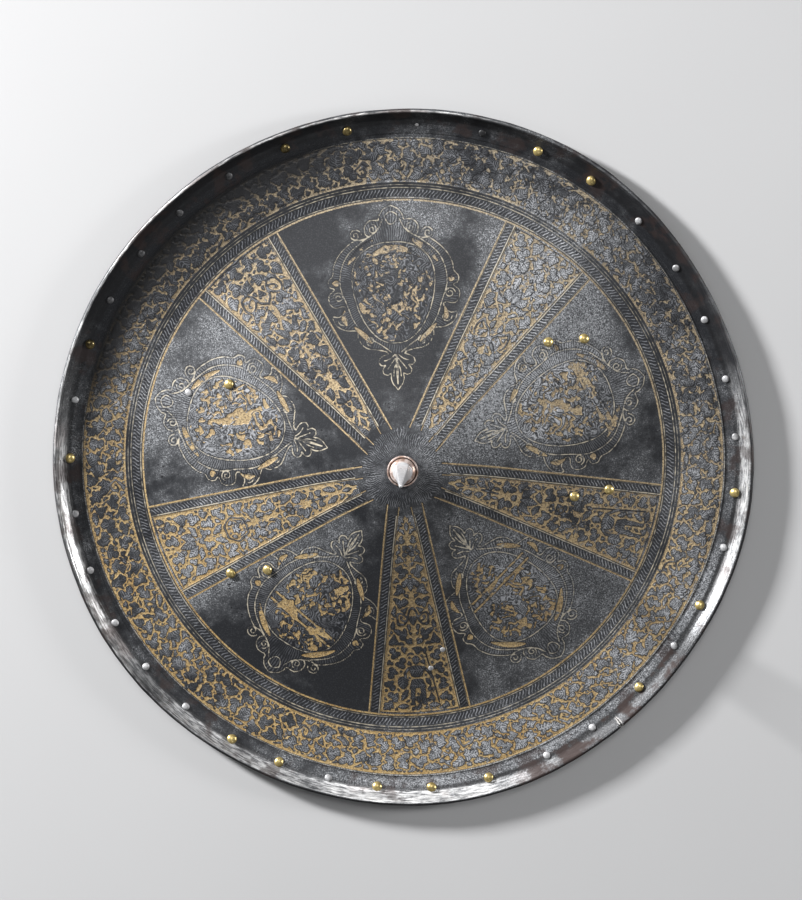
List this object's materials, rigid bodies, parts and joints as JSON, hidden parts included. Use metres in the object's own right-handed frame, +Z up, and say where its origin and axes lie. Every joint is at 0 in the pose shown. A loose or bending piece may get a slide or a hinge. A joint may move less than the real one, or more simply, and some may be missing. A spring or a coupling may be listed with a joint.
{
  "type": "rondache shield",
  "caption": "Round etched and gilded steel shield: shallow cone with a square spike, level ornamented border and a turned-up rolled rim set with lining rivets; hollow back.",
  "frame": {"origin": "centre of the outline, at the level of the flat underside of the border that the shield rests on", "axes": "+Z up through the dome and its spike, +Y towards the top of the shield as worn, +X to the right as one faces its front"},
  "size_m": [0.5692, 0.5716, 0.136],
  "materials": {
    "etched_steel": "dark blue-grey patinated steel, etched with gilt-ground ornament",
    "bright_steel": "bright worn steel",
    "brass": "polished yellow brass rivet heads",
    "iron": "dull grey iron rivet heads"
  },
  "bodies": {
    "root": {"shield_plate": "etched_steel", "spike": "bright_steel", "rim_rivet_01": "iron", "rim_rivet_02": "iron", "rim_rivet_03": "iron", "rim_rivet_04": "iron", "rim_rivet_05": "iron", "rim_rivet_06": "brass", "rim_rivet_07": "brass", "rim_rivet_08": "iron", "rim_rivet_09": "brass", "rim_rivet_10": "brass", "rim_rivet_11": "iron", "rim_rivet_12": "iron", "rim_rivet_13": "iron", "rim_rivet_14": "iron", "rim_rivet_15": "brass", "rim_rivet_16": "iron", "rim_rivet_17": "brass", "rim_rivet_18": "iron", "rim_rivet_19": "iron", "rim_rivet_20": "iron", "rim_rivet_21": "iron", "rim_rivet_22": "iron", "rim_rivet_23": "brass", "rim_rivet_24": "brass", "rim_rivet_25": "iron", "rim_rivet_26": "brass", "rim_rivet_27": "brass", "rim_rivet_28": "brass", "rim_rivet_29": "iron", "rim_rivet_30": "iron", "rim_rivet_31": "brass", "rim_rivet_32": "iron", "rim_rivet_33": "brass", "rim_rivet_34": "iron", "rim_rivet_35": "brass", "strap_rivet_left_outer": "iron", "strap_rivet_left_inner": "brass", "strap_rivet_right_inner": "brass", "strap_rivet_right_outer": "brass", "strap_rivet_low_right_inner": "brass", "strap_rivet_low_right_outer": "brass", "strap_rivet_low_left_outer": "brass", "strap_rivet_low_left_inner": "brass", "pad_rivet_upper": "iron", "pad_rivet_lower": "iron"}
  },
  "joints": []
}
